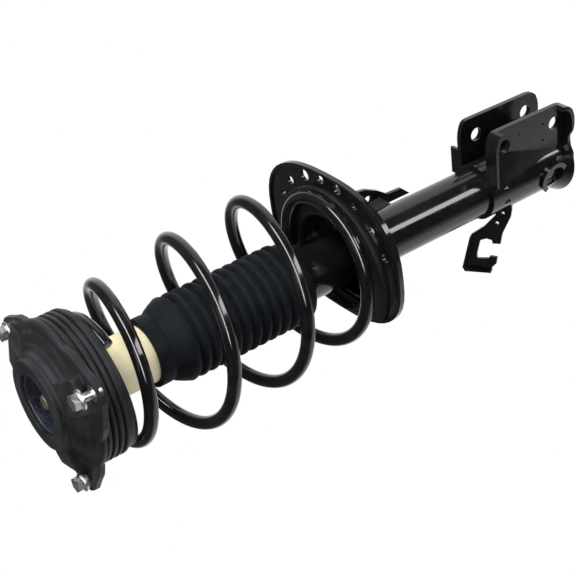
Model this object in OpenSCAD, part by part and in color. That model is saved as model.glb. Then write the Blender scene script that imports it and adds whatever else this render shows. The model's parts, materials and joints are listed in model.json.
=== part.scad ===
// Front strut assembly: top mount, coil spring, bump stop, boot, damper and knuckle bracket.
// Millimetres. Origin: centre of the tower bolt circle on the mount pads.
// +Z runs along the strut towards the car, +X towards the knuckle ears.

/* [Top mount] */
// Radius of the circle the tower bolts stand on
bolt_circle_r = 83.5; // [82:0.5:85]
// Radius of the boss that enters the tower hole
boss_r = 42; // [40:0.5:43]
// Height of the boss face above the pads
boss_h = 20; // [18:1:24]
// How far the loose bolt is backed out
loose_bolt_lift = 10; // [0:1:14]

/* [Spring] */
// Radius of the spring wire
wire_r = 6.35; // [5.5:0.05:6.5]
// Radius of the middle coils, to the wire centre
coil_r = 82; // [78:0.5:84]
// Radius of the closed top coil
top_coil_r = 57; // [55:0.5:59]
// Radius of the closed bottom coil
low_coil_r = 55; // [53:0.5:57]

/* [Damper] */
// Radius of the piston rod
rod_r = 11; // [10:0.5:11.5]
// Outer radius of the strut tube
tube_r = 25.5; // [25:0.5:26]
// Wall of the strut tube
tube_wall = 2.5; // [2:0.25:3]

/* [Boot and bump stop] */
// Radius of the boot at its pleat crests
crest_r = 40.5; // [39:0.5:42]
// Depth of the boot pleats
pleat_depth = 5; // [3:0.5:6]
// Radius of the bump stop
stop_r = 27; // [25:0.5:27]

/* [Brackets] */
// Gap between the two knuckle ears
ear_gap = 35.4; // [34:0.2:38]
// Thickness of each ear
ear_t = 5; // [4:0.5:6]
// Radius of the knuckle bolt holes
ear_hole_r = 7.1; // [6:0.1:8]
// Distance between the knuckle bolt holes
ear_hole_gap = 69; // [66:0.5:72]

/* [Hidden] */
$fn = 96;

// Top mount
bolt_angles = [70, -60, -167];
bolt_lifts = [0, loose_bolt_lift, 2];
mount_under_z = -6;
saddle_w = 32;
lobe_z = -7;
lobe_reach_r = 93.5;
cup_r = 28.5;
plate_t = 3;
insert_r = 7.5;
bolt_r = 4;
bolt_l = 13;
thread_r = 7;
rod_tip_z = 14;
race_in_r = 34;
race_out_r = 46;
ball_r = 3;
ball_ring_r = 40;
ball_z = -16;
ball_count = 20;

// Upper seat
seat_plate_z = -29;
insulator_r = 68.7;
insulator_top_z = -7;
groove_r = 65.5;
groove_zs = [-12.2, -17.6];

// Spring frame: the coil leans towards the ears at its foot
spring_at = [4.2, 0, -180];
spring_lean = -3.1;
spring_start = -0.085;
spring_end = 4.28;
spring_top_z = 137.5;
pitch = 80;
steps_per_turn = 56;
wire_sides = 20;

// Damper, from the top down
cap_top_z = -228;
tube_top_z = -231;
seal_low_z = -237;
guide_low_z = -258;
piston_top_z = -285;
piston_low_z = -300;
pressure_low_z = -569;
valve_low_z = -584;
tube_low_z = -589;
tube_in_r = tube_r - tube_wall;
pressure_in_r = 15;
pressure_out_r = 16.5;
slide_gap = 0.04;
bush_r = 13.5;
spigot_r = 6;

// Boot, from the top down
boot_top_z = -86;
boot_low_z = -251;
boot_wall = 2;
pleat_pitch = 11;
pleat_count = 11;
first_crest_z = -118;

// Lower seat
sheet_t = 3;
seat_centre = [22.5, -3];
seat_half = [74, 96.5];
seat_lean = -2.9;
wing_z = -300;
rim_lip = 2;
channel_z = -304;
channel_r = 78;
well_z = -319;
neck_z = -336;
seat_holes = [
    [55, 84.5, 3], [38, 87, 4.4], [19, 88, 5.6], [3, 88, 4.8], [-13, 88, 5], [-29, 88, 3.6],
    [-47, 88, 4], [-65, 88, 4.2]
];

// Knuckle bracket
ear_x = 51;
ear_top_hole_z = -505;
ear_in_y = ear_gap / 2;
ear_out_y = ear_in_y + ear_t;
flange_w = 10.5;
sleeve_r = tube_r + 4;
sleeve_top_z = -483;
sleeve_low_z = -590;
skirt_w = 8;
foot_hole_r = 12.5;
foot_hole_at = [-100, -567];
ear_corners = [
    [16, -484], [58, -483], [71.5, -488], [70, -590], [48, -594], [34, -589.5], [14, -593], [-18, -592],
    [-18, -562], [16, -560]
];
ear_bends = [0, 7, 6, 12, 7, 7, 8, 2, 0, 0];

rubber_colour = [0.05, 0.05, 0.055];
paint_colour = [0.02, 0.02, 0.022];
zinc_colour = [0.75, 0.77, 0.8];
steel_colour = [0.45, 0.46, 0.48];
foam_colour = [0.9, 0.87, 0.68];

// ---------- shared shapes ----------

// Tube between two radii and two heights
module ring(r_in, r_out, z_low, z_high) {
    translate([0, 0, z_low])
        difference() {
            cylinder(r = r_out, h = z_high - z_low);
            translate([0, 0, -1])
                cylinder(r = r_in, h = z_high - z_low + 2);
        }
}

// Hexagonal prism given its width across flats
module hexagon(across_flats, h) {
    cylinder(r = across_flats / sqrt(3), h = h, $fn = 6);
}

// Point k of four on the curve that rounds corner i of an outline by its bend
function bend_point(points, bends, i, k) = let (
        n = len(points),
        here = points[i],
        before = points[(i + n - 1) % n] - here,
        after = points[(i + 1) % n] - here,
        start = here + before / norm(before) * bends[i],
        end = here + after / norm(after) * bends[i],
        t = k / 3
    ) start * (1 - t) * (1 - t) + here * 2 * t * (1 - t) + end * t * t;

// Edge of the ear from one corner to another, each rounded by its bend; 0 keeps the corner
function ear_edge(from, to) = [
    for (i = [from:to], k = [0:ear_bends[i] == 0 ? 0 : 3]) bend_point(ear_corners, ear_bends, i, k)
];

// Closed band between a path and its shifted copy
function band(path, shift) = concat(path, [for (i = [len(path) - 1:-1:0]) path[i] + shift]);

// Puts children at each tower bolt, radial direction along X
module at_bolts() {
    for (i = [0:2])
        rotate(bolt_angles[i])
            translate([bolt_circle_r, 0, 0])
                children();
}

// ---------- top mount ----------

module mount_plate() {
    color(steel_colour)
        translate([0, 0, mount_under_z])
            linear_extrude(plate_t)
                difference() {
                    union() {
                        circle(r = 66);
                        at_bolts() union() {
                            circle(r = insert_r + 2.5);
                            translate([-30, -insert_r - 2.5])
                                square([30, 2 * insert_r + 5]);
                        }
                    }
                    circle(r = cup_r + 1);
                    at_bolts() circle(r = insert_r);
                }
}

module mount_inserts() {
    color(zinc_colour)
        at_bolts() ring(bolt_r, insert_r, lobe_z, 0);
}

// One bolt lobe: flat foot under the bolt and a saddle that steps down to it from the boss
module lobe() {
    translate([0, 0, lobe_z])
        linear_extrude(-lobe_z)
            polygon([
                [50, -46], [70, -33], [82, -20], [91, -11], [lobe_reach_r, -4], [lobe_reach_r, 4],
                [91, 11], [82, 20], [70, 33], [50, 46]
            ]);
    difference() {
        translate([0, saddle_w / 2, 0])
            rotate([90, 0, 0])
                linear_extrude(saddle_w)
                    polygon([
                        [30, -1], [30, boss_h - 6], [49, boss_h - 7], [57, 12], [65, 10.5], [69, 8], [71, 4], [78, 2],
                        [78, -1]
                    ]);
        translate([bolt_circle_r, 0, 0])
            cylinder(r = 10.5, h = 30);
    }
}

module mount_rubber() {
    color(rubber_colour)
        difference() {
            union() {
                rotate_extrude()
                    polygon([
                        [cup_r, mount_under_z], [cup_r, boss_h], [boss_r, boss_h], [boss_r, boss_h - 6],
                        [boss_r + 3, boss_h - 7], [boss_r + 4, 9], [51, 7], [52, 5], [60, 3], [62, 1],
                        [68, 0], [70, -2], [70, mount_under_z]
                    ]);
                for (a = bolt_angles)
                    rotate(a) lobe();
            }
            translate([0, 0, lobe_z - 1])
                cylinder(r = 70.5, h = mount_under_z - lobe_z + 1);
            translate([0, 0, lobe_z - 1])
                cylinder(r = cup_r, h = 50);
            mount_plate();
            at_bolts() translate([0, 0, lobe_z - 1]) cylinder(r = insert_r, h = 1 - lobe_z);
        }
}

// Flange-head bolt whose flange underside is at z = 0
module flange_bolt() {
    cylinder(r = 9.2, h = 1.8);
    translate([0, 0, 1.8]) cylinder(r = 7.6, h = 1);
    translate([0, 0, 2.8]) hexagon(13, 6);
    translate([0, 0, -bolt_l]) cylinder(r = bolt_r, h = bolt_l);
}

module mount_bolts() {
    color(zinc_colour)
        for (i = [0:2])
            rotate(bolt_angles[i])
                translate([bolt_circle_r, 0, bolt_lifts[i]])
                    flange_bolt();
}

module mount_cup() {
    color(steel_colour)
        rotate_extrude()
            polygon([
                [thread_r, mount_under_z], [cup_r, mount_under_z], [cup_r, boss_h - 3], [cup_r - 2, boss_h - 3],
                [cup_r - 2, 1], [cup_r - 6, -3], [thread_r, -3]
            ]);
}

module nut_washer() {
    color(zinc_colour) ring(thread_r, 15, -3, -0.5);
}

module rod_nut() {
    color(steel_colour)
        difference() {
            translate([0, 0, -0.5]) hexagon(21, 9.5);
            translate([0, 0, -1]) cylinder(r = thread_r, h = 12);
        }
}

module bearing_upper_race() {
    color(steel_colour)
        difference() {
            ring(race_in_r, race_out_r, ball_z + 2, mount_under_z);
            translate([0, 0, ball_z])
                rotate_extrude() translate([ball_ring_r, 0]) circle(r = ball_r + 0.3);
        }
}

// ---------- piston rod ----------

module piston_rod() {
    color(zinc_colour)
        rotate_extrude()
            polygon([
                [0, piston_low_z - 12], [spigot_r, piston_low_z - 12], [spigot_r, piston_top_z + 2],
                [rod_r, piston_top_z + 2], [rod_r, mount_under_z], [thread_r, mount_under_z],
                [thread_r, rod_tip_z - 1], [thread_r - 1, rod_tip_z], [0, rod_tip_z]
            ]);
}

module rebound_stop() {
    color(steel_colour) ring(rod_r, rod_r + 3.5, guide_low_z - 10.5, guide_low_z - 0.5);
}

module piston() {
    color(steel_colour)
        difference() {
            ring(spigot_r, pressure_in_r - 0.05, piston_low_z, piston_top_z);
            ring(pressure_in_r - 1, pressure_in_r + 1, piston_low_z + 4, piston_top_z - 4);
            for (a = [0:60:300])
                rotate(a)
                    translate([10, 0, piston_low_z - 1])
                        cylinder(r = 1.2, h = 20);
        }
}

module piston_band() {
    color([0.2, 0.25, 0.2])
        ring(pressure_in_r - 1, pressure_in_r - 0.05, piston_low_z + 4, piston_top_z - 4);
}

module valve_discs() {
    color(steel_colour) {
        ring(spigot_r, 12, piston_top_z, piston_top_z + 1);
        ring(spigot_r, 9, piston_top_z + 1, piston_top_z + 2);
        ring(spigot_r, 12, piston_low_z - 1, piston_low_z);
    }
}

module piston_nut() {
    color(steel_colour)
        translate([0, 0, piston_low_z - 9])
            difference() {
                hexagon(19, 8);
                translate([0, 0, -1]) cylinder(r = spigot_r, h = 10);
            }
}

// ---------- turning upper seat ----------

// Everything on the upper side of the plane the closed top coil bears on
module above_top_coil() {
    translate(spring_at)
        rotate([0, spring_lean, 0])
            translate([-120, -120, spring_top_z + wire_r + 0.1])
                cube([240, 240, 80]);
}

module upper_spring_seat() {
    color(paint_colour)
        rotate_extrude()
            polygon([
                [rod_r + 3, seat_plate_z], [stop_r + 0.3, seat_plate_z], [stop_r + 0.3, -33],
                [stop_r + 2.8, -33], [stop_r + 2.8, seat_plate_z], [64, seat_plate_z],
                [64, seat_plate_z + sheet_t], [rod_r + 3, seat_plate_z + sheet_t]
            ]);
}

module upper_insulator() {
    color(rubber_colour)
        intersection() {
            difference() {
                rotate_extrude()
                    polygon([
                        [59, insulator_top_z], [insulator_r - 1, insulator_top_z], [insulator_r, insulator_top_z - 1],
                        [insulator_r, -29], [66, -31], [66, -41], [48, -41], [48, seat_plate_z],
                        [64, seat_plate_z], [64, seat_plate_z + sheet_t], [59, seat_plate_z + sheet_t]
                    ]);
                for (z = groove_zs)
                    ring(groove_r, insulator_r + 1, z - 0.9, z + 0.9);
            }
            above_top_coil();
        }
}

module bearing_lower_race() {
    color(steel_colour)
        difference() {
            ring(race_in_r, race_out_r, seat_plate_z + sheet_t, ball_z - 2);
            translate([0, 0, ball_z])
                rotate_extrude() translate([ball_ring_r, 0]) circle(r = ball_r + 0.05);
        }
}

module balls(r) {
    for (i = [0:ball_count - 1])
        rotate(i * 360 / ball_count)
            translate([ball_ring_r, 0, ball_z])
                sphere(r = r);
}

module bearing_balls() {
    color(zinc_colour) balls(ball_r);
}

module bearing_cage() {
    color([0.75, 0.7, 0.55])
        difference() {
            ring(ball_ring_r - 4.5, ball_ring_r + 4.5, ball_z - 1, ball_z + 1);
            balls(ball_r + 0.1);
        }
}

// Rises smoothly from 0 to 1 as t goes from a to a + w
function ease(t, a, w) = let (u = min(max((t - a) / w, 0), 1)) u * u * (3 - 2 * u);

// Turns of pitch used up when the pitch itself eases in from a over w
function eased_turns(t, a, w) = let (u = min(max((t - a) / w, 0), 1))
    w * (u * u * u - u * u * u * u / 2) + max(t - a - w, 0);

// Wire centre after t turns, in the leaning spring frame; falls as the angle grows
function wire_radius(t) = top_coil_r + (coil_r - top_coil_r) * ease(t, 0.1, 1.5)
    - (coil_r - low_coil_r) * ease(t, 3.35, 1);
function wire_height(t) = spring_top_z - pitch * (eased_turns(t, 0.3, 0.8) - eased_turns(t, 3.4, 0.8));
function wire_centre(t) = [
    wire_radius(t) * cos(360 * t), wire_radius(t) * sin(360 * t), wire_height(t)
];

// Points of one wire section: a circle square to the wire's path
function wire_section(t) = let (
        c = wire_centre(t),
        d = wire_centre(t + 0.002) - wire_centre(t - 0.002),
        ahead = d / norm(d),
        side = [cos(360 * t), sin(360 * t), 0] - ahead * (ahead * [cos(360 * t), sin(360 * t), 0]),
        out = side / norm(side),
        up = cross(out, ahead)
    ) [for (i = [0:wire_sides - 1])
        c + wire_r * (cos(i * 360 / wire_sides) * out + sin(i * 360 / wire_sides) * up)];

module coil_spring() {
    sections = ceil((spring_end - spring_start) * steps_per_turn);
    step = (spring_end - spring_start) / sections;
    n = wire_sides;
    color(paint_colour)
        translate(spring_at)
            rotate([0, spring_lean, 0])
                polyhedron(
                    points = [for (s = [0:sections]) each wire_section(spring_start + s * step)],
                    faces = [
                        [for (i = [0:n - 1]) i],
                        for (s = [0:sections - 1], i = [0:n - 1])
                            [s * n + i, (s + 1) * n + i, (s + 1) * n + (i + 1) % n, s * n + (i + 1) % n],
                        [for (i = [0:n - 1]) sections * n + n - 1 - i]
                    ]
                );
}

module bump_stop() {
    color(foam_colour)
        rotate_extrude()
            polygon([
                [rod_r + 0.6, seat_plate_z], [stop_r, seat_plate_z], [stop_r, -95], [22, -99], [24, -104],
                [19, -108], [21, -113], [16, -119], [rod_r + 0.6, -119]
            ]);
}

module dust_boot() {
    valley_r = crest_r - pleat_depth;
    last_z = first_crest_z - (pleat_count - 1) * pleat_pitch;
    color(rubber_colour)
        rotate_extrude()
            polygon(concat(
                [[stop_r + 0.1, boot_top_z], [stop_r + 5.5, boot_top_z], [stop_r + 5.5, -98],
                    [stop_r + 4, -100], [stop_r + 5.5, -102]],
                [for (i = [0:pleat_count - 1], k = [0:1])
                    [k == 0 ? crest_r : valley_r, first_crest_z - (i + k / 2) * pleat_pitch]],
                [[crest_r - 2.5, boot_low_z + 13], [crest_r - 2.5, boot_low_z], [tube_r + 1, boot_low_z],
                    [tube_r + 1, boot_low_z + boot_wall], [crest_r - 2.5 - boot_wall, boot_low_z + boot_wall],
                    [crest_r - 2.5 - boot_wall, boot_low_z + 13]],
                [for (i = [pleat_count - 1:-1:0], k = [1:-1:0])
                    [(k == 0 ? crest_r : valley_r) - boot_wall, first_crest_z - (i + k / 2) * pleat_pitch]],
                [[stop_r + 3, -104], [stop_r + 0.1, -101]]
            ));
}

// ---------- damper ----------

module strut_tube() {
    color(paint_colour) ring(tube_in_r, tube_r, tube_low_z, tube_top_z);
}

module tube_cap() {
    color(steel_colour)
        rotate_extrude()
            polygon([
                [rod_r + 1, tube_top_z], [tube_r, tube_top_z], [tube_r, tube_top_z - 13],
                [tube_r + 2, tube_top_z - 13], [tube_r + 2, cap_top_z - 1], [tube_r + 1, cap_top_z],
                [rod_r + 1, cap_top_z]
            ]);
}

module rod_seal() {
    color(rubber_colour) ring(rod_r + slide_gap, tube_in_r, seal_low_z, tube_top_z);
}

module rod_guide() {
    color(steel_colour)
        difference() {
            ring(bush_r, tube_in_r, guide_low_z, seal_low_z);
            ring(pressure_in_r + 4, tube_in_r + 1, guide_low_z - 1, guide_low_z + 8);
        }
}

module guide_bush() {
    color([0.6, 0.45, 0.25]) ring(rod_r + slide_gap, bush_r, guide_low_z, seal_low_z);
}

module pressure_tube() {
    color(steel_colour) ring(pressure_in_r, pressure_out_r, pressure_low_z, guide_low_z);
}

module base_valve() {
    color(steel_colour)
        difference() {
            union() {
                translate([0, 0, valve_low_z + 7])
                    cylinder(r = pressure_out_r, h = pressure_low_z - valve_low_z - 7);
                ring(14, tube_in_r - 1, valve_low_z, valve_low_z + 7);
                translate([0, 0, valve_low_z + 5])
                    cylinder(r = 15, h = 3);
            }
            for (a = [0:60:300])
                rotate(a) {
                    translate([9, 0, valve_low_z])
                        cylinder(r = 1.5, h = 20);
                    translate([12, -3, valve_low_z - 1])
                        cube([12, 6, 4]);
                }
        }
}

module tube_bottom() {
    color(paint_colour)
        translate([0, 0, tube_low_z])
            cylinder(r = tube_in_r, h = valve_low_z - tube_low_z);
}

// ---------- lower spring seat ----------

// Rounded seat outline, inset by a margin
module seat_outline(inset) {
    polygon([for (a = [0:7.5:352.5]) [
        seat_centre[0] + (seat_half[0] - inset) * sign(cos(a)) * pow(abs(cos(a)), 0.77),
        seat_centre[1] + (seat_half[1] - inset) * sign(sin(a)) * pow(abs(sin(a)), 0.77)
    ]]);
}

// Leans children with the wing; their z = 0 is the wing's upper face
module on_wing() {
    translate([seat_centre[0], 0, wing_z])
        rotate([0, seat_lean, 0])
            translate([-seat_centre[0], 0, 0])
                children();
}

// Well round the tube, spring channel and the wall up to the wing
module seat_bowl() {
    intersection() {
        rotate_extrude()
            polygon([
                [tube_r, neck_z], [tube_r + sheet_t, neck_z], [tube_r + sheet_t, well_z - sheet_t],
                [46, well_z - sheet_t], [50, channel_z - sheet_t], [channel_r + sheet_t, channel_z - sheet_t],
                [channel_r + sheet_t, wing_z + 10], [channel_r, wing_z + 10], [channel_r, channel_z],
                [48, channel_z], [44, well_z], [tube_r, well_z]
            ]);
        translate([0, 0, neck_z - 1])
            linear_extrude(60) seat_outline(0.4);
        on_wing() translate([-120, -120, -60]) cube([240, 240, 60]);
    }
}

module lower_spring_seat() {
    color(paint_colour)
        difference() {
            union() {
                seat_bowl();
                on_wing() translate([0, 0, -sheet_t]) linear_extrude(sheet_t) difference() {
                    seat_outline(0.4);
                    circle(r = channel_r + 1);
                }
                on_wing() translate([0, 0, -sheet_t]) linear_extrude(sheet_t + rim_lip) difference() {
                    seat_outline(0);
                    seat_outline(sheet_t);
                }
            }
            for (hole = seat_holes)
                rotate(hole[0])
                    translate([hole[1], 0, wing_z - 12])
                        cylinder(r = hole[2], h = 24);
        }
}

module lower_insulator() {
    color(rubber_colour)
        intersection() {
            ring(49, channel_r, channel_z, -291);
            translate([0, 0, channel_z - 1])
                linear_extrude(30) seat_outline(sheet_t + 0.2);
            translate(spring_at)
                rotate([0, spring_lean, 0])
                    translate([-120, -120, wire_height(spring_end) - wire_r - 30.3])
                        cube([240, 240, 30]);
        }
}

// ---------- brackets ----------

// Puts children with Z pointing out of the sleeve at the hole near its foot
module at_foot_hole() {
    rotate(foot_hole_at[0])
        translate([0, 0, foot_hole_at[1]])
            rotate([0, 90, 0])
                children();
}

// Sleeve stock, still solid, with weld dimples, a flared skirt and the lipped hole near its foot
module sleeve() {
    difference() {
        union() {
            translate([0, 0, sleeve_low_z])
                cylinder(r = sleeve_r, h = sleeve_top_z - sleeve_low_z);
            intersection() {
                translate([0, 0, sleeve_low_z + 0.5])
                    cylinder(r1 = sleeve_r + skirt_w, r2 = sleeve_r - 1, h = 16);
                translate([-36, -50, sleeve_low_z])
                    cube([50, 48, 20]);
            }
            intersection() {
                at_foot_hole() cylinder(r = foot_hole_r + 5, h = sleeve_r + 3);
                rotate(foot_hole_at[0])
                    translate([0, 0, foot_hole_at[1]])
                        rotate([40, 0, 0])
                            translate([0, -3, -30])
                                cube([60, 40, 60]);
            }
        }
        at_foot_hole() translate([0, 0, 10]) cylinder(r = foot_hole_r, h = 40);
        for (at = [[-73, -501.5], [-108, -503]])
            rotate(at[0])
                translate([sleeve_r + 1.5, 0, at[1]])
                    sphere(r = 4.2, $fn = 24);
    }
}

// Flange folded outwards from an ear, with the given outline seen along Y
module flange(outline) {
    translate([0, ear_out_y + flange_w, 0])
        rotate([90, 0, 0])
            linear_extrude(flange_w + 1) polygon(outline);
}

// One ear on the +Y side: plate and the web that leans out to the sleeve
module ear() {
    translate([0, ear_out_y, 0])
        rotate([90, 0, 0])
            linear_extrude(ear_t) polygon(ear_edge(0, len(ear_corners) - 1));
    intersection() {
        translate([43, ear_out_y, -512])
            rotate([0, 18.2, 0])
                rotate([0, 0, -8.2])
                    translate([-50, -ear_t, -90])
                        cube([50, ear_t, 130]);
        translate([0, 50, 0])
            rotate([90, 0, 0])
                linear_extrude(50)
                    polygon([[7, -486.5], [60, -486.5], [60, -587], [24, -587]]);
    }
}

// Flange at the foot of the near ear, its lip waved
module foot_flange() {
    intersection() {
        flange(band(ear_edge(3, 6), [-3, 3.4]));
        translate([0, 0, -600])
            linear_extrude(130)
                polygon([
                    [-25, 15], [90, 15], [90, ear_out_y + 4], [74, ear_out_y + flange_w - 1],
                    [60, ear_out_y + flange_w + 1], [42, ear_out_y + flange_w + 1], [34, ear_out_y + 7.5],
                    [22, ear_out_y + 7.5], [12, ear_out_y + flange_w + 1], [-25, ear_out_y + flange_w + 1]
                ]);
    }
}

module knuckle_bracket() {
    color(paint_colour)
        difference() {
            union() {
                sleeve();
                ear();
                flange([[11, -484.5], [40, -483.6], [40, -487], [11, -487.5]]);
                mirror([0, 1, 0]) {
                    ear();
                    flange(band(ear_edge(0, 2), [-2.5, -3.2]));
                    foot_flange();
                }
            }
            translate([0, 0, tube_low_z - 20])
                cylinder(r = tube_r, h = 160);
            for (z = [ear_top_hole_z, ear_top_hole_z - ear_hole_gap])
                translate([ear_x, 60, z])
                    rotate([90, 0, 0])
                        cylinder(r = ear_hole_r, h = 120);
            for (at = [[57, -524], [56, -558], [38, -558]])
                translate([at[0], -ear_out_y - 2.2, at[1]])
                    sphere(r = 3, $fn = 24);
        }
}

// Hooked plate that carries the brake hose, with a raised edge round its outer corner
module hose_bracket() {
    color(paint_colour)
        difference() {
            translate([-24, -11, -508])
                rotate([29.4, 0, 0])
                    translate([0, 0, -1.5])
                        difference() {
                            union() {
                                linear_extrude(sheet_t)
                                    polygon([
                                        [9, -13], [0, -13.3], [-9, -12], [-20, -7.3], [-30, -3], [-43, -0.6],
                                        [-43.6, 7.8], [-39.7, 8.4], [-38.5, 14.3], [-41.5, 21], [-58.5, 25],
                                        [-64.7, 25], [-62.7, 12.4], [-59.8, 11], [-60, 3], [-67.6, 4],
                                        [-74, 9.5], [-78, 9], [-80, 37.7], [-75.5, 40.3], [-66, 38],
                                        [-36, 31], [-24, 16.5], [-9, 4.3], [9, 2]
                                    ]);
                                linear_extrude(sheet_t + 4)
                                    polygon([
                                        [-78, 9], [-80, 37.7], [-75.5, 40.3], [-66, 38], [-36, 31], [-36.6, 28.6],
                                        [-65.6, 35.6], [-74.6, 37.6], [-77.4, 36], [-75.6, 9.2]
                                    ]);
                            }
                            translate([-5.9, -3.9, -1]) cylinder(r = 1.8, h = 6);
                            translate([-18.3, 2.5, -1]) cylinder(r = 2, h = 6);
                        }
            translate([0, 0, -560]) cylinder(r = tube_r + 1, h = 100);
            sleeve();
        }
}

// Folded bracket behind the tube for the anti-roll bar link
module link_bracket() {
    color(paint_colour)
        difference() {
            union() {
                translate([0, 0, -400])
                    linear_extrude(38)
                        polygon([[5, 20], [9, 20], [9, 41], [5, 41]]);
                translate([0, 44, 0])
                    rotate([90, 0, 0])
                        linear_extrude(sheet_t + 1)
                            polygon([[5, -362], [33, -362], [31, -376], [24, -391], [15, -404], [14, -422], [5, -432]]);
            }
            translate([0, 0, -440]) cylinder(r = tube_r, h = 90);
            translate([18, 60, -378])
                rotate([90, 0, 0]) cylinder(r = 5, h = 40);
        }
}

mount_rubber();
mount_plate();
mount_inserts();
mount_bolts();
mount_cup();
nut_washer();
rod_nut();
bearing_upper_race();
piston_rod();
rebound_stop();
piston();
piston_band();
valve_discs();
piston_nut();
upper_spring_seat();
upper_insulator();
bearing_lower_race();
bearing_balls();
bearing_cage();
coil_spring();
bump_stop();
dust_boot();
strut_tube();
tube_cap();
rod_seal();
rod_guide();
guide_bush();
pressure_tube();
base_valve();
tube_bottom();
lower_spring_seat();
lower_insulator();
knuckle_bracket();
hose_bracket();
link_bracket();
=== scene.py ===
"""Looks for the strut assembly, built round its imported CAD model.

The scene is in metres. The outlines of single pieces are in millimetres, turned into metres
by MM where their meshes are made. Z is the strut's axis, with the mount at the top.
"""

import json
import math

import bmesh
import bpy
from mathutils import Matrix, Vector


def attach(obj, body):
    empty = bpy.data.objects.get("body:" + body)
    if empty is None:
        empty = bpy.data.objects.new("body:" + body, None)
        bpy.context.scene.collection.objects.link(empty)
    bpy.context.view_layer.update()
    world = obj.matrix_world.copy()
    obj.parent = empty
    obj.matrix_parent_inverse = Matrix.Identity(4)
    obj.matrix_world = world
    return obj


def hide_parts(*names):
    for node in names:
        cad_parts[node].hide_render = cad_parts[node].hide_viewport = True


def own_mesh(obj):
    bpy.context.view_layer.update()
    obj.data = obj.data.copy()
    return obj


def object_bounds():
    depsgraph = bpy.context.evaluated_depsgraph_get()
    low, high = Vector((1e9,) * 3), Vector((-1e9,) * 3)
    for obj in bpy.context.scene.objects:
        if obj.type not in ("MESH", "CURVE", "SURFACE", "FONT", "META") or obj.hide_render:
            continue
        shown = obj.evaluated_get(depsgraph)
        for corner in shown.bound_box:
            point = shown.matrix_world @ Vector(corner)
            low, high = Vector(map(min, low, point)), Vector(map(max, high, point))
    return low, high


MM = 0.001
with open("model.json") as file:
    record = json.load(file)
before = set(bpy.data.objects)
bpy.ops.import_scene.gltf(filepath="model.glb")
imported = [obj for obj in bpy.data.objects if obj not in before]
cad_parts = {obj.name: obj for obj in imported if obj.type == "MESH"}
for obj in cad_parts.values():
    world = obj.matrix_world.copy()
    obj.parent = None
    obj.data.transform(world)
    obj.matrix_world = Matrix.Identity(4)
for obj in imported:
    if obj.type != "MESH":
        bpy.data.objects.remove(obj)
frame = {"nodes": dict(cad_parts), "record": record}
cad_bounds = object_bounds()
nodes = frame["nodes"]


# ---------- materials ----------


class Nodes:
    """Short names for building one node tree."""

    def __init__(self, tree):
        self.tree = tree
        tree.nodes.clear()

    def add(self, kind, values=None, links=None, **settings):
        node = self.tree.nodes.new(kind)
        for key, value in settings.items():
            setattr(node, key, value)
        for key, value in (values or {}).items():
            node.inputs[key].default_value = value
        for key, socket in (links or {}).items():
            self.tree.links.new(socket, node.inputs[key])
        return node

    def position(self):
        """The object's own coordinates, so that the grain moves with the piece."""
        return self.add("ShaderNodeTexCoord").outputs["Object"]

    def noise(self, scale, detail=3, roughness=0.5, where=None):
        node = self.add(
            "ShaderNodeTexNoise",
            {"Scale": scale, "Detail": detail, "Roughness": roughness},
            {"Vector": where or self.position()},
        )
        return node.outputs["Fac"]

    def spread(self, source, low, high, start=0.35, end=0.65):
        """Maps the middle of a noise to the range low..high."""
        node = self.add(
            "ShaderNodeMapRange",
            {"From Min": start, "From Max": end, "To Min": low, "To Max": high},
            {"Value": source},
        )
        return node.outputs["Result"]

    def tint(self, source, dark, light, start=0.35, end=0.65):
        """Colours the same middle range, from dark to light."""
        node = self.add("ShaderNodeValToRGB", links={"Fac": source})
        for element, place, colour in zip(
            node.color_ramp.elements, (start, end), (dark, light)
        ):
            element.position = place
            element.color = (*colour, 1)
        return node.outputs["Color"]

    def bump(self, source, depth, strength):
        """Normals of a relief whose full height is depth, in metres."""
        node = self.add(
            "ShaderNodeBump", {"Strength": strength, "Distance": depth}, {"Height": source}
        )
        return node.outputs["Normal"]


def new_material(name, build, **fixed):
    """A Principled material; build returns its linked sockets, fixed holds its constants."""
    material = bpy.data.materials.new(name)
    material.use_nodes = True
    tree = Nodes(material.node_tree)
    linked = build(tree)
    shader = tree.add("ShaderNodeBsdfPrincipled", fixed, linked)
    tree.add("ShaderNodeOutputMaterial", links={"Surface": shader.outputs["BSDF"]})
    return material


def gloss_paint(tree):
    """Black powder coat: fine orange peel, with faint dust that dulls it in patches."""
    peel = tree.noise(420, 2)
    dust = tree.noise(60, 6, 0.7)
    return {
        "Base Color": tree.tint(dust, (0.004, 0.004, 0.005), (0.009, 0.009, 0.010)),
        "Roughness": tree.spread(dust, 0.07, 0.16),
        "Normal": tree.bump(peel, 0.00004, 0.5),
    }


def moulded_rubber(tree):
    """Charcoal rubber: mould grain, with a paler bloom in soft patches."""
    grain = tree.noise(1500, 4, 0.7)
    bloom = tree.noise(38, 5, 0.65)
    return {
        "Base Color": tree.tint(bloom, (0.009, 0.009, 0.010), (0.021, 0.022, 0.024)),
        "Roughness": tree.spread(bloom, 0.38, 0.54),
        "Normal": tree.bump(grain, 0.00012, 0.5),
    }


def boot_rubber(tree):
    """Blue-black bellows rubber, dull, with a fine talc film."""
    grain = tree.noise(1800, 4, 0.7)
    film = tree.noise(90, 5, 0.6)
    return {
        "Base Color": tree.tint(film, (0.005, 0.006, 0.008), (0.009, 0.011, 0.013)),
        "Roughness": tree.spread(film, 0.48, 0.62),
        "Normal": tree.bump(grain, 0.0001, 0.4),
    }


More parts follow.
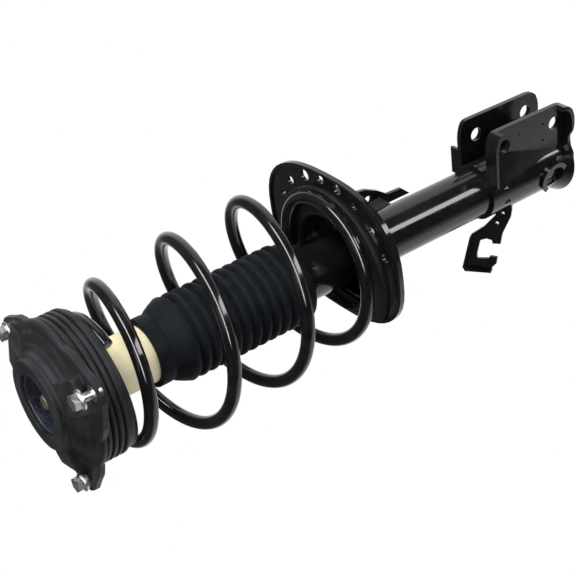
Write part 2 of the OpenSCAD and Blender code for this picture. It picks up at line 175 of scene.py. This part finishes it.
def cell_foam(tree):
    """Cream microcellular foam: fine cells and soft staining."""
    cells = tree.add(
        "ShaderNodeTexVoronoi", {"Scale": 900.0}, {"Vector": tree.position()}
    ).outputs["Distance"]
    stain = tree.noise(28, 4)
    return {
        "Base Color": tree.tint(stain, (0.72, 0.65, 0.40), (0.84, 0.79, 0.55)),
        "Roughness": tree.spread(stain, 0.55, 0.75),
        "Normal": tree.bump(cells, 0.0001, 0.6),
    }


def plated(dark, light, rough_low, rough_high):
    """Plated, blackened or bare steel: mottled, with fine streaks along Z."""

    def build(tree):
        stretched = tree.add(
            "ShaderNodeMapping", {"Scale": (900, 900, 90)}, {"Vector": tree.position()}
        ).outputs["Vector"]
        streak = tree.noise(1.0, 4, 0.6, stretched)
        patch = tree.noise(150, 4, 0.6)
        return {
            "Base Color": tree.tint(patch, dark, light),
            "Roughness": tree.spread(patch, rough_low, rough_high),
            "Normal": tree.bump(streak, 0.00002, 0.4),
        }

    return build


THREAD_FROM_Z, THREAD_FULL_Z = -0.007, -0.006


def chromed_rod(tree):
    """Hard chrome on the ground rod, yellowish plating on its threaded tip."""
    height = tree.add(
        "ShaderNodeSeparateXYZ", links={"Vector": tree.position()}
    ).outputs["Z"]
    tip = tree.spread(height, 0.0, 1.0, THREAD_FROM_Z, THREAD_FULL_Z)
    return {
        "Base Color": tree.tint(tip, (0.76, 0.77, 0.79), (0.62, 0.55, 0.45), 0.4, 0.6),
        "Roughness": tree.spread(tip, 0.10, 0.42, 0.4, 0.6),
        "Normal": tree.bump(tree.noise(900, 3, 0.6), 0.00003, 0.4),
    }


def plain_moulding(dark, light, rough_low, rough_high):
    """Plastic or bronze inside the strut: mottled colour, light grain."""

    def build(tree):
        patch = tree.noise(120, 4, 0.6)
        grain = tree.noise(1400, 3)
        return {
            "Base Color": tree.tint(patch, dark, light),
            "Roughness": tree.spread(patch, rough_low, rough_high),
            "Normal": tree.bump(grain, 0.00005, 0.4),
        }

    return build


metal = {"Metallic": 1.0}
materials = {
    "gloss_black_paint": new_material("gloss_black_paint", gloss_paint, IOR=1.5),
    "spring_paint": new_material("spring_paint", gloss_paint, IOR=1.5),
    "moulded_rubber": new_material(
        "moulded_rubber", moulded_rubber, **{"Specular IOR Level": 0.14}
    ),
    "boot_rubber": new_material("boot_rubber", boot_rubber, **{"Specular IOR Level": 0.05}),
    "stop_foam": new_material("stop_foam", cell_foam),
    "zinc_plate": new_material(
        "zinc_plate", plated((0.56, 0.57, 0.59), (0.74, 0.75, 0.77), 0.30, 0.46), **metal
    ),
    "bare_steel": new_material(
        "bare_steel", plated((0.28, 0.28, 0.29), (0.42, 0.42, 0.44), 0.30, 0.45), **metal
    ),
    "blued_steel": new_material(
        "blued_steel",
        plated((0.035, 0.042, 0.055), (0.060, 0.070, 0.090), 0.22, 0.34),
        Metallic=0.5,
    ),
    "hard_chrome": new_material("hard_chrome", chromed_rod, **metal),
    "yellow_zinc": new_material(
        "yellow_zinc", plated((0.36, 0.31, 0.25), (0.56, 0.51, 0.44), 0.28, 0.42), Metallic=0.7
    ),
    "slide_band": new_material(
        "slide_band", plain_moulding((0.07, 0.10, 0.08), (0.11, 0.15, 0.12), 0.25, 0.4)
    ),
    "bronze_bush": new_material(
        "bronze_bush", plain_moulding((0.45, 0.31, 0.16), (0.58, 0.43, 0.25), 0.3, 0.45), **metal
    ),
    "cage_plastic": new_material(
        "cage_plastic", plain_moulding((0.62, 0.58, 0.42), (0.72, 0.69, 0.54), 0.4, 0.55)
    ),
}

slot_of = {
    row["node"]: row["material_slot"] for row in frame["record"]["subparts"]
}
body_of = {
    name: body
    for body, members in frame["record"]["behaviour"]["bodies"].items()
    for name in members
}
for name, node in nodes.items():
    node.data.materials.clear()
    node.data.materials.append(materials[slot_of[name]])


# ---------- mesh helpers ----------


def closed_mesh(name, verts, faces):
    """A mesh whose faces all look outward."""
    mesh = bpy.data.meshes.new(name)
    mesh.from_pydata(verts, [], faces)
    bm = bmesh.new()
    bm.from_mesh(mesh)
    bmesh.ops.recalc_face_normals(bm, faces=bm.faces)
    bm.to_mesh(mesh)
    bm.free()
    return mesh


def new_piece(name, mesh, node):
    """Links a mesh as the piece that stands for a CAD node, with that node's finish."""
    piece = bpy.data.objects.new(name, mesh)
    bpy.context.scene.collection.objects.link(piece)
    mesh.materials.clear()
    mesh.materials.append(materials[slot_of[node]])
    mesh.shade_smooth()
    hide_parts(node)
    return piece


def apply_modifiers(piece):
    """Turns the modified shape into the piece's own mesh."""
    evaluated = piece.evaluated_get(bpy.context.evaluated_depsgraph_get())
    mesh = bpy.data.meshes.new_from_object(evaluated)
    piece.modifiers.clear()
    piece.data = mesh


ROUND_STEPS = 144


def revolve(name, profile, node, adjust=None):
    """Turns a closed (radius, height) outline in mm about Z; adjust may move each point."""
    verts, faces = [], []
    count = len(profile)
    for i in range(ROUND_STEPS):
        angle = 2 * math.pi * i / ROUND_STEPS
        for radius, height in profile:
            point = (radius * math.cos(angle), radius * math.sin(angle), height)
            verts.append(Vector(adjust(*point) if adjust else point) * MM)
    for i in range(ROUND_STEPS):
        for k in range(count):
            a, b = i * count, ((i + 1) % ROUND_STEPS) * count
            faces.append((a + k, b + k, b + (k + 1) % count, a + (k + 1) % count))
    return new_piece(name, closed_mesh(name, verts, faces), node)


def rounded_outline(points, radius, steps):
    """A closed outline with each corner turned into a curve of steps + 1 points."""
    result = []
    count = len(points)
    for i in range(count):
        here = Vector(points[i])
        before, after = Vector(points[i - 1]), Vector(points[(i + 1) % count])
        to_before, to_after = before - here, after - here
        cut = min(radius, to_before.length * 0.45, to_after.length * 0.45)
        start = here + to_before.normalized() * cut
        end = here + to_after.normalized() * cut
        for k in range(steps + 1):
            t = k / steps
            point = start * (1 - t) ** 2 + here * 2 * t * (1 - t) + end * t * t
            result.append((point.x, point.y))
    return result


MERGE_MM = 0.01
FLAT_DEGREES, SHARP_DEGREES = 1.5, 28
BEVEL_SEGMENTS = 3


def rounded_copy(name, node, width_mm):
    """The CAD solid's shape with its sharp edges bevelled to a small radius."""
    mesh = nodes[node].data.copy()
    bm = bmesh.new()
    bm.from_mesh(mesh)
    bmesh.ops.remove_doubles(bm, verts=bm.verts, dist=MERGE_MM * MM)
    bmesh.ops.dissolve_limit(
        bm, angle_limit=math.radians(FLAT_DEGREES), verts=bm.verts, edges=bm.edges
    )
    bm.to_mesh(mesh)
    bm.free()
    piece = new_piece(name, mesh, node)
    bevel = piece.modifiers.new("edge", "BEVEL")
    bevel.width = width_mm * MM
    bevel.segments = BEVEL_SEGMENTS
    bevel.limit_method = "ANGLE"
    bevel.angle_limit = math.radians(SHARP_DEGREES)
    bevel.miter_outer = "MITER_ARC"
    normals = piece.modifiers.new("normals", "WEIGHTED_NORMAL")
    normals.keep_sharp = True
    apply_modifiers(piece)
    return piece


def softened_copy(name, node, voxel_mm, passes):
    """The CAD solid's shape remeshed and smoothed, as a moulding with rounded edges."""
    piece = new_piece(name, nodes[node].data.copy(), node)
    remesh = piece.modifiers.new("remesh", "REMESH")
    remesh.mode = "VOXEL"
    remesh.voxel_size = voxel_mm * MM
    remesh.use_smooth_shade = True
    smooth = piece.modifiers.new("smooth", "SMOOTH")
    smooth.factor = 0.5
    smooth.iterations = passes
    apply_modifiers(piece)
    piece.data.materials.clear()
    piece.data.materials.append(materials[slot_of[node]])
    return piece


# ---------- coil spring ----------

# the same sizes as the CAD coil's, in mm; the ends are in turns from the first full turn
WIRE_R = 6.35
COIL_R, TOP_COIL_R, LOW_COIL_R = 82, 57, 55
SPRING_START, SPRING_END = -0.085, 4.28
SPRING_TOP_Z, PITCH = 137.5, 80
SPRING_AT = Vector((4.2, 0, -180))
LEAN_DEGREES = 3.1
SPRING_LEAN = Matrix.Rotation(math.radians(-LEAN_DEGREES), 3, "Y")

# the turn at which each change starts, and how many turns it takes
WIDENING, NARROWING = (0.1, 1.5), (3.35, 1)
PITCH_OPENING, PITCH_CLOSING = (0.3, 0.8), (3.4, 0.8)

WIRE_SIDES, SECTIONS_PER_TURN = 36, 140
TANGENT_STEP = 0.002

# a cut end: distance from the end in mm, and the share of the wire's radius there
CUT_END = ((0.0, 0.80), (0.5, 0.95), (1.3, 1.0))


def clamp01(value):
    """The value held between 0 and 1."""
    return min(max(value, 0), 1)


def ease(t, start, width):
    """Rises smoothly from 0 to 1 over the given width."""
    u = clamp01((t - start) / width)
    return u * u * (3 - 2 * u)


def eased_turns(t, start, width):
    """Turns of full pitch used up when the pitch itself eases in."""
    u = clamp01((t - start) / width)
    return width * (u**3 - u**4 / 2) + max(t - start - width, 0)


def wire_centre(t):
    """Middle of the wire at turn t, before the spring leans."""
    radius = TOP_COIL_R + (COIL_R - TOP_COIL_R) * ease(t, *WIDENING)
    radius -= (COIL_R - LOW_COIL_R) * ease(t, *NARROWING)
    height = SPRING_TOP_Z - PITCH * (
        eased_turns(t, *PITCH_OPENING) - eased_turns(t, *PITCH_CLOSING)
    )
    angle = 2 * math.pi * t
    return Vector((radius * math.cos(angle), radius * math.sin(angle), height))


def wire_sections():
    """Turn and share of the wire's radius for every section along the wire."""
    count = round((SPRING_END - SPRING_START) * SECTIONS_PER_TURN)
    inner = [
        (SPRING_START + (SPRING_END - SPRING_START) * s / count, 1.0)
        for s in range(1, count)
    ]
    end_turn_mm = math.pi * (TOP_COIL_R + LOW_COIL_R)
    head = [(SPRING_START + d / end_turn_mm, share) for d, share in CUT_END]
    tail = [(SPRING_END - d / end_turn_mm, share) for d, share in reversed(CUT_END)]
    return head + inner + tail


def build_spring():
    """A round wire swept along the coil's path, its cut ends slightly dressed."""
    sections = wire_sections()
    sides = WIRE_SIDES
    verts, faces = [], []
    for t, share in sections:
        centre = wire_centre(t)
        ahead = (wire_centre(t + TANGENT_STEP) - wire_centre(t - TANGENT_STEP)).normalized()
        outward = Vector((math.cos(2 * math.pi * t), math.sin(2 * math.pi * t), 0))
        outward = (outward - ahead * ahead.dot(outward)).normalized()
        upward = outward.cross(ahead)
        for k in range(sides):
            a = 2 * math.pi * k / sides
            offset = (outward * math.cos(a) + upward * math.sin(a)) * WIRE_R * share
            verts.append((SPRING_AT + SPRING_LEAN @ (centre + offset)) * MM)
    for s in range(len(sections) - 1):
        for k in range(sides):
            a, b = s * sides + k, s * sides + (k + 1) % sides
            faces.append((a, b, b + sides, a + sides))
    last = (len(sections) - 1) * sides
    faces.append(tuple(reversed(range(sides))))
    faces.append(tuple(last + k for k in range(sides)))
    return new_piece("spring_wire", closed_mesh("spring_wire", verts, faces), "coil_spring")


spring = build_spring()
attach(spring, body_of["coil_spring"])
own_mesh(spring)


# ---------- dust boot ----------

CREST_R, PLEAT_DEPTH, BOOT_WALL = 40.5, 5.0, 2.0
PLEAT_PITCH, PLEAT_COUNT, FIRST_CREST_Z = 11.0, 11, -118.0
BOOT_TOP_Z, BOOT_LOW_Z = -86.0, -251.0
CUFF_R, CUFF_BORE_R = 32.5, 27.1
SKIRT_R, SKIRT_INNER_R, END_BORE_R = 38.0, 36.0, 26.5
STEPS_PER_PLEAT, CUFF_CORNER_STEPS = 14, 4


def pleat_radius(z):
    """Outer radius of the bellows: round crests, tight valleys."""
    phase = (FIRST_CREST_Z - z) / PLEAT_PITCH
    off_crest = abs(phase - round(phase)) * 2
    return CREST_R - PLEAT_DEPTH * off_crest**2.2


def build_boot():
    """Cuff with one groove, a flare, eleven pleats and a plain skirt, two millimetres thick."""
    cuff = rounded_outline(
        [
            (CUFF_BORE_R, BOOT_TOP_Z),
            (CUFF_R, BOOT_TOP_Z),
            (CUFF_R, -98),
            (31.2, -100),
            (CUFF_R, -102.5),
            (34.5, -105),
        ],
        1.0,
        CUFF_CORNER_STEPS,
    )
    # the last corner isn't a corner of the boot: the flare carries on from there
    cuff = cuff[: -(CUFF_CORNER_STEPS + 1)]
    flare = [(35.2, -106.5), (38.2, -112.5)]
    bellows = []
    for i in range(PLEAT_COUNT * STEPS_PER_PLEAT + 1):
        z = FIRST_CREST_Z - i * PLEAT_PITCH / STEPS_PER_PLEAT
        bellows.append((pleat_radius(z), z))
    last_crest_z = FIRST_CREST_Z - (PLEAT_COUNT - 1) * PLEAT_PITCH
    skirt_z = last_crest_z - 12.0
    skirt = [
        (SKIRT_R - 1.0, skirt_z + 2.0),
        (SKIRT_R - 0.2, skirt_z),
        (SKIRT_R, BOOT_LOW_Z + 1.0),
        (SKIRT_R - 1.0, BOOT_LOW_Z),
    ]
    inner = [
        (END_BORE_R, BOOT_LOW_Z),
        (END_BORE_R, BOOT_LOW_Z + BOOT_WALL),
        (SKIRT_INNER_R, BOOT_LOW_Z + BOOT_WALL),
        (SKIRT_INNER_R, skirt_z),
    ]
    inner += [(r - BOOT_WALL, z) for r, z in reversed(bellows)]
    inner += [(30.0, -104), (CUFF_BORE_R, -101)]
    return revolve("boot_bellows", cuff + flare + bellows + skirt + inner, "dust_boot")


boot = build_boot()
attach(boot, body_of["dust_boot"])
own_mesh(boot)


# ---------- ribbed upper insulator ----------

INSULATOR_R, RIB_ROOT_R, RIB_CHAMFER = 68.7, 65.4, 0.9
RIB_SPANS = ((-7.0, -11.6), (-13.4, -17.6), (-19.4, -23.6), (-25.4, -30.0))
COIL_PLANE_X, COIL_PLANE_Z = 11.6, -36.0


def above_coil(x, y, z):
    """Keeps a point above the leaning plane that the closed top coil bears on."""
    lean = math.tan(math.radians(LEAN_DEGREES))
    return x, y, max(z, COIL_PLANE_Z + lean * (x - COIL_PLANE_X))


def build_insulator():
    """Four ribs outside, a step inside for the steel seat, and a skirt round the coil."""
    ribs = []
    for top, low in RIB_SPANS:
        ribs += [
            (RIB_ROOT_R, top + 0.2),
            (INSULATOR_R - RIB_CHAMFER, top),
            (INSULATOR_R, top - RIB_CHAMFER),
            (INSULATOR_R, low + RIB_CHAMFER),
            (INSULATOR_R - RIB_CHAMFER, low),
            (RIB_ROOT_R, low - 0.2),
        ]
    skirt = [(66, -31), (66, -41), (48, -41), (48, -29)]
    step = [(64, -29), (64, -26), (59, -26), (59, -7)]
    outline = rounded_outline(ribs + skirt + step, 0.5, 2)
    return revolve("insulator_ribs", outline, "upper_insulator", above_coil)


insulator = build_insulator()
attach(insulator, body_of["upper_insulator"])


# ---------- pieces made from their CAD solids ----------

# piece, CAD node, voxel in mm, smoothing passes
for piece_name, node_name, voxel, passes in (
    ("mount_moulding", "mount_rubber", 0.8, 5),
    ("seat_pad", "lower_insulator", 0.9, 4),
    ("stop_moulding", "bump_stop", 0.9, 4),
):
    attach(softened_copy(piece_name, node_name, voxel, passes), body_of[node_name])

# piece, CAD node, bevel in mm
for piece_name, node_name, width in (
    ("tower_bolts", "mount_bolts", 0.5),
    ("rod_tip_nut", "rod_nut", 0.5),
    ("centre_cup", "mount_cup", 0.9),
    ("spring_pan", "lower_spring_seat", 0.9),
    ("knuckle_ears", "knuckle_bracket", 1.2),
    ("hose_hook", "hose_bracket", 0.7),
    ("link_tab", "link_bracket", 0.9),
    ("tube_shell", "strut_tube", 0.6),
):
    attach(rounded_copy(piece_name, node_name, width), body_of[node_name])


# ---------- camera, light and floor ----------

CAMERA_AT = Vector((0.6765, -0.8922, 0.3476))
CAMERA_FORWARD = Vector((-0.537, 0.703, -0.467)).normalized()
CAMERA_UP = Vector((0.838, 0.381, -0.391))
camera_right = CAMERA_FORWARD.cross(CAMERA_UP).normalized()
camera_up = camera_right.cross(CAMERA_FORWARD)

camera_data = bpy.data.cameras.new("camera")
camera_data.lens = 85
camera_data.sensor_width = 36
camera = bpy.data.objects.new("camera", camera_data)
bpy.context.scene.collection.objects.link(camera)
turn = Matrix((camera_right, camera_up, -CAMERA_FORWARD)).transposed()
camera.matrix_world = Matrix.Translation(CAMERA_AT) @ turn.to_4x4()
bpy.context.scene.camera = camera
bpy.context.scene.view_settings.view_transform = "Standard"

FLOOR_Z = cad_bounds[0][2] - 0.002
FLOOR_HALF = 6


def build_floor():
    """A wide sheet as white as the background, which the gloss doesn't reflect."""
    corners = [
        (x * FLOOR_HALF, y * FLOOR_HALF, FLOOR_Z) for x, y in ((-1, -1), (1, -1), (1, 1), (-1, 1))
    ]
    mesh = bpy.data.meshes.new("floor")
    mesh.from_pydata(corners, [], [(0, 1, 2, 3)])
    floor = bpy.data.objects.new("floor", mesh)
    bpy.context.scene.collection.objects.link(floor)
    material = bpy.data.materials.new("floor_white")
    material.use_nodes = True
    tree = Nodes(material.node_tree)
    glow = tree.add("ShaderNodeEmission", {"Color": (1, 1, 1, 1), "Strength": 1.0})
    tree.add("ShaderNodeOutputMaterial", links={"Surface": glow.outputs[0]})
    mesh.materials.append(material)
    floor.visible_glossy = False


build_floor()


# What the gloss reflects. An _AT or _AWAY is degrees round Z. A pair is the start and end
# of a smooth change, as a component of the direction.
BACKDROP_AWAY, BACKDROP_LEVEL, BACKDROP_EDGE = -57.3, 1.0, (0.24, 0.36)
BACKDROP_FADE, BACKDROP_TOP_SHARE = (-0.25, 0.15), 0.06
TUBE_LIGHT_AT, TUBE_LIGHT_LEVEL, TUBE_LIGHT_EDGE = -46.0, 10.0, (0.11, 0.16)
TUBE_LIGHT_FRONT, TUBE_LIGHT_FADE, TUBE_LIGHT_TOP_SHARE = (0.3, 0.5), (-0.2, 0.0), 0.1
COIL_LIGHT_AT, COIL_LIGHT_LEVEL, COIL_LIGHT_EDGE = -30.0, 16.0, (0.45, 0.65)
COIL_LIGHT_LOW, COIL_LIGHT_HIGH = (0.30, 0.38), (0.50, 0.60)
CARD_FACING, CARD_LEVEL = Vector((-0.54, -0.70, -0.47)).normalized(), 0.42
CARD_EDGE = (0.945, 0.985)
DIM_BELOW, DIM_ABOVE = 0.05, 0.02
AMBIENT_LEVEL = 0.7


def build_world():
    """White to the eye; for the gloss a backdrop, two long lights and a low card."""
    world = bpy.data.worlds.new("studio")
    bpy.context.scene.world = world
    world.use_nodes = True
    tree = Nodes(world.node_tree)
    direction = tree.add("ShaderNodeTexCoord").outputs["Generated"]

    def along(axis):
        """Component of the direction along an axis."""
        node = tree.add(
            "ShaderNodeVectorMath", links={0: direction}, operation="DOT_PRODUCT"
        )
        node.inputs[1].default_value = axis
        return node.outputs["Value"]

    def step(source, edge, low, high):
        """Changes smoothly from low to high between the edge's start and end."""
        start, end = edge
        node = tree.add(
            "ShaderNodeMapRange",
            {"From Min": start, "From Max": end, "To Min": low, "To Max": high},
            {"Value": source},
            interpolation_type="SMOOTHSTEP",
        )
        return node.outputs["Result"]

    def maths(operation, a, b=None):
        links = {0: a} if b is None else {0: a, 1: b}
        return tree.add("ShaderNodeMath", links=links, operation=operation).outputs[0]

    def times(a, b):
        return maths("MULTIPLY", a, b)

    def azimuth(degrees):
        return Vector((math.cos(math.radians(degrees)), math.sin(math.radians(degrees)), 0))

    height = along((0, 0, 1))
    backdrop = times(
        step(along(azimuth(BACKDROP_AWAY)), BACKDROP_EDGE, BACKDROP_LEVEL, 0),
        step(height, BACKDROP_FADE, 1.0, BACKDROP_TOP_SHARE),
    )
    # an upright light: a streak down the tube
    across = maths("ABSOLUTE", along(azimuth(TUBE_LIGHT_AT + 90)))
    tube_light = times(
        step(across, TUBE_LIGHT_EDGE, TUBE_LIGHT_LEVEL, 0),
        step(along(azimuth(TUBE_LIGHT_AT)), TUBE_LIGHT_FRONT, 0, 1),
    )
    tube_light = times(tube_light, step(height, TUBE_LIGHT_FADE, 1, TUBE_LIGHT_TOP_SHARE))
    # a level light: a thin streak along the front of each coil
    coil_light = times(
        step(along(azimuth(COIL_LIGHT_AT)), COIL_LIGHT_EDGE, 0, COIL_LIGHT_LEVEL),
        times(step(height, COIL_LIGHT_LOW, 0, 1), step(height, COIL_LIGHT_HIGH, 1, 0)),
    )
    card = step(along(CARD_FACING), CARD_EDGE, 0, CARD_LEVEL)
    lamps = maths("MAXIMUM", tube_light, coil_light)
    pattern = maths("MAXIMUM", maths("MAXIMUM", backdrop, lamps), card)
    path = tree.add("ShaderNodeLightPath")
    seen, reflected = path.outputs["Is Camera Ray"], path.outputs["Is Glossy Ray"]
    gloss = times(reflected, maths("ADD", pattern, step(height, (-1, 1), DIM_BELOW, DIM_ABOVE)))
    ambient = step(maths("MAXIMUM", seen, reflected), (0, 1), AMBIENT_LEVEL, 0)
    strength = maths("ADD", maths("ADD", seen, gloss), ambient)
    light = tree.add(
        "ShaderNodeBackground", {"Color": (1, 1, 1, 1)}, {"Strength": strength}
    )
    tree.add("ShaderNodeOutputWorld", links={"Surface": light.outputs[0]})


build_world()

TARGET = Vector((0, 0, -0.25))


def add_softbox(name, direction, distance, size, power):
    """A square light that faces the strut and lights it without showing in the gloss."""
    data = bpy.data.lights.new(name, "AREA")
    data.size = size
    data.energy = power
    light = bpy.data.objects.new(name, data)
    light.location = TARGET + direction.normalized() * distance
    light.rotation_euler = direction.to_track_quat("Z", "Y").to_euler()
    light.visible_glossy = False
    bpy.context.scene.collection.objects.link(light)


key_from = camera_up * 0.9 - camera_right * 0.5 - CAMERA_FORWARD * 0.6
fill_from = -camera_up * 0.3 - camera_right * 0.9 - CAMERA_FORWARD * 0.6
add_softbox("key", key_from, distance=1.5, size=0.8, power=30)
add_softbox("fill", fill_from, distance=1.6, size=0.9, power=12)
